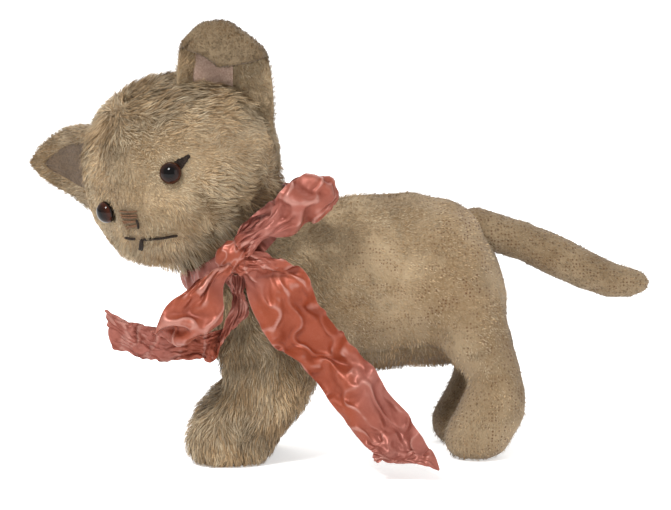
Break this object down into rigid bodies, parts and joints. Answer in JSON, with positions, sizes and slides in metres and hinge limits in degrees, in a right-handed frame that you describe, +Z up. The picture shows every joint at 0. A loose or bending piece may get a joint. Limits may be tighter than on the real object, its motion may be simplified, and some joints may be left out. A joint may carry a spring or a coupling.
{
  "type": "plush cat",
  "caption": "Standing plush kitten of worn short-pile mohair with a disc-jointed turning head, glass eyes, felt-lined ears, sewn tail and a tied taffeta neck bow.",
  "frame": {"origin": "under the middle of the bounding box, on the surface that the four feet stand on", "axes": "+X towards the tail, the kitten looks along -X; its own left side is -Y; +Z up"},
  "size_m": [0.2222, 0.108, 0.1593],
  "materials": {
    "mohair_plush": "short worn beige mohair pile on a woven backing",
    "ear_lining": "smooth pinkish beige felt",
    "wood_wool": "packed shredded wood fibre",
    "brown_glass": "polished dark brown glass with a black pupil",
    "steel": "plain drawn wire and pressed washers",
    "black_thread": "twisted cotton thread",
    "nose_thread": "worn brown embroidery thread",
    "fibreboard": "matt pressed board",
    "taffeta_ribbon": "crumpled coral taffeta with a soft sheen and paler worn creases"
  },
  "bodies": {
    "body": {"body_side_left": "mohair_plush", "body_side_right": "mohair_plush", "belly_gusset": "mohair_plush", "body_stuffing": "wood_wool", "neck_disc": "fibreboard", "neck_washer": "steel", "neck_cotter_pin": "steel", "ribbon_neck_band": "taffeta_ribbon", "ribbon_knot": "taffeta_ribbon", "ribbon_loop_upper": "taffeta_ribbon", "ribbon_loop_lower": "taffeta_ribbon"},
    "head": {"head_side_left": "mohair_plush", "head_side_right": "mohair_plush", "head_gusset": "mohair_plush", "head_stuffing": "wood_wool", "head_disc": "fibreboard", "head_washer": "steel", "eye_left_glass": "brown_glass", "eye_right_glass": "brown_glass", "eye_left_wire": "steel", "eye_right_wire": "steel", "eye_left_corner_stitch": "black_thread", "eye_right_corner_stitch": "black_thread", "nose_stitching": "nose_thread", "mouth_stitching": "black_thread"},
    "ear_left": {"ear_left_back": "mohair_plush", "ear_left_lining": "ear_lining"},
    "ear_right": {"ear_right_back": "mohair_plush", "ear_right_lining": "ear_lining"},
    "tail": {"tail_cover": "mohair_plush", "tail_stuffing": "wood_wool"},
    "ribbon_long_end": {"ribbon_tail_long": "taffeta_ribbon"},
    "ribbon_short_end": {"ribbon_tail_short": "taffeta_ribbon"}
  },
  "joints": [
    {"name": "head_swivel", "type": "hinge", "parent": "body", "child": "head", "pos_m": [-0.0418, 0.00578, 0.0838], "axis": [-0.6428, 0, 0.766], "range_deg": [-143, 37]},
    {"name": "tail_lift", "type": "hinge", "parent": "body", "child": "tail", "pos_m": [0.0578, 0.00578, 0.079], "axis": [0, -1, 0], "range_deg": [-15, 20]},
    {"name": "ear_left_flex", "type": "hinge", "parent": "head", "child": "ear_left", "pos_m": [-0.0454, 0.00083, 0.13147], "axis": [0.9272, 0.0191, -0.3741], "range_deg": [-12, 12], "stiffness_Nm_per_rad": 0.01},
    {"name": "ear_right_flex", "type": "hinge", "parent": "head", "child": "ear_right", "pos_m": [-0.08374, 0.0226, 0.10382], "axis": [0.1766, 0.0838, -0.9807], "range_deg": [-12, 12], "stiffness_Nm_per_rad": 0.01},
    {"name": "ribbon_long_swing", "type": "hinge", "parent": "body", "child": "ribbon_long_end", "pos_m": [-0.0412, -0.02822, 0.0775], "axis": [-1, 0, 0], "range_deg": [0, 50]},
    {"name": "ribbon_short_swing", "type": "hinge", "parent": "body", "child": "ribbon_short_end", "pos_m": [-0.0442, -0.02382, 0.072], "axis": [0, 1, 0], "range_deg": [0, 30]}
  ]
}
